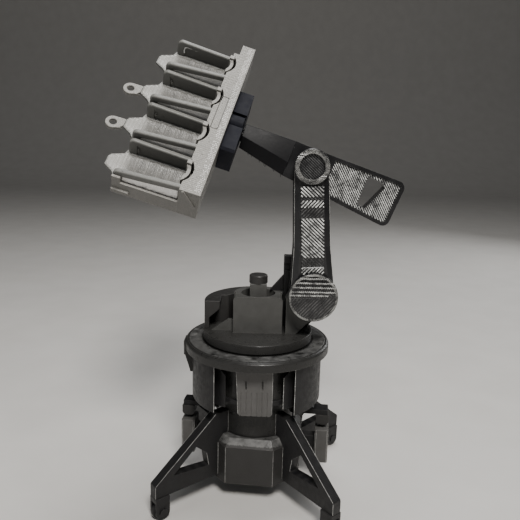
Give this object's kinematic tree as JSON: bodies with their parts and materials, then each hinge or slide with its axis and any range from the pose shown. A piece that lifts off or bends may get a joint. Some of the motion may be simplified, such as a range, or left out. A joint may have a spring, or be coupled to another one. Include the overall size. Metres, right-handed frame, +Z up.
{
  "type": "desktop swing arm with cradle rack",
  "caption": "Small printed swing arm: turntable on a drum base with outrigger legs and castors, hinged link and boom, and a tilted rack of open trough cradles.",
  "frame": {"origin": "on the turntable axis, at the flat underside of the base housing, which hangs 4.8 mm above the surface that the castors stand on", "axes": "+Z up along the turntable axis, +X towards the shoulder and the boom tail, -Y the front"},
  "size_m": [0.064, 0.0459, 0.1045],
  "materials": {
    "black_print": "satin black printed plastic with fine layer lines",
    "charcoal_print": "dark printed plastic with visible layer and surface lines",
    "dark_grey_print": "dark grey printed plastic",
    "mid_grey_print": "mid grey printed plastic",
    "gloss_black_print": "silky black printed plastic with diagonal surface lines",
    "blue_black_print": "matte blue-black printed plastic",
    "grey_print": "warm grey printed plastic with fine speckle and layer lines",
    "steel": "small screws"
  },
  "bodies": {
    "base": {"base_housing": "black_print", "base_cover": "black_print", "cover_screws": "steel", "base_core": "black_print", "drum_floor": "black_print", "drum_shell_left": "black_print", "drum_shell_right": "black_print", "drum_liner_left": "black_print", "drum_liner_right": "black_print", "front_plate": "mid_grey_print", "front_plate_bracket": "black_print", "flange_ring": "charcoal_print", "king_pin": "charcoal_print", "pin_collar": "dark_grey_print", "thrust_washer": "black_print", "jack_stays": "black_print", "castor_forks": "black_print", "castor_axles": "black_print", "leg_1": "black_print", "leg_2": "black_print", "leg_3": "black_print", "leg_4": "black_print", "jack_body_left": "mid_grey_print", "jack_rod_left": "charcoal_print", "jack_arm_left": "black_print", "jack_body_right": "mid_grey_print", "jack_rod_right": "charcoal_print", "jack_arm_right": "black_print"},
    "turntable": {"turntable_disc": "black_print", "turntable_bush": "black_print", "turret_wall": "black_print", "centre_block": "dark_grey_print", "shoulder_ear": "dark_grey_print", "bracket_post": "black_print", "post_gusset": "black_print", "shoulder_axle": "gloss_black_print"},
    "link": {"link_front": "gloss_black_print", "link_rear": "gloss_black_print", "link_web": "gloss_black_print", "link_panel": "gloss_black_print", "shoulder_cap": "gloss_black_print", "elbow_pin": "gloss_black_print", "elbow_clip": "gloss_black_print"},
    "boom": {"boom_tail": "gloss_black_print", "boom_neck": "gloss_black_print", "wrist_spigot": "gloss_black_print"},
    "rack": {"wrist_block": "blue_black_print", "rack_spine": "grey_print", "end_stops": "grey_print", "rack_end_frame": "grey_print", "eye_links": "grey_print", "cradle_1": "grey_print", "cradle_2": "grey_print", "cradle_3": "grey_print", "cradle_4": "grey_print"},
    "wheel_1": {"castor_wheel_1": "black_print"},
    "wheel_2": {"castor_wheel_2": "black_print"},
    "wheel_3": {"castor_wheel_3": "black_print"},
    "wheel_4": {"castor_wheel_4": "black_print"}
  },
  "joints": [
    {"name": "turntable_spin", "type": "hinge", "parent": "base", "child": "turntable", "pos_m": [0, 0, 0.0334], "axis": [0, 0, 1], "continuous": true},
    {"name": "shoulder", "type": "hinge", "parent": "turntable", "child": "link", "pos_m": [0.0121, -0.003, 0.04445], "axis": [0, 1, 0], "range_deg": [-15, 40]},
    {"name": "elbow", "type": "hinge", "parent": "link", "child": "boom", "pos_m": [0.01075, -0.0025, 0.0728], "axis": [0, 1, 0], "range_deg": [-15, 25]},
    {"name": "wrist_roll", "type": "hinge", "parent": "boom", "child": "rack", "pos_m": [-0.00609, -0.0025, 0.07934], "axis": [-0.9563, 0, 0.2924], "continuous": true},
    {"name": "wheel_1_spin", "type": "hinge", "parent": "base", "child": "wheel_1", "pos_m": [0.02062, 0.01664, -0.0028], "axis": [-0.628, 0.7782, 0], "continuous": true},
    {"name": "wheel_2_spin", "type": "hinge", "parent": "base", "child": "wheel_2", "pos_m": [-0.01664, 0.02062, -0.0028], "axis": [-0.7782, -0.628, 0], "continuous": true},
    {"name": "wheel_3_spin", "type": "hinge", "parent": "base", "child": "wheel_3", "pos_m": [-0.02062, -0.01664, -0.0028], "axis": [0.628, -0.7782, 0], "continuous": true},
    {"name": "wheel_4_spin", "type": "hinge", "parent": "base", "child": "wheel_4", "pos_m": [0.01664, -0.02062, -0.0028], "axis": [0.7782, 0.628, 0], "continuous": true}
  ]
}
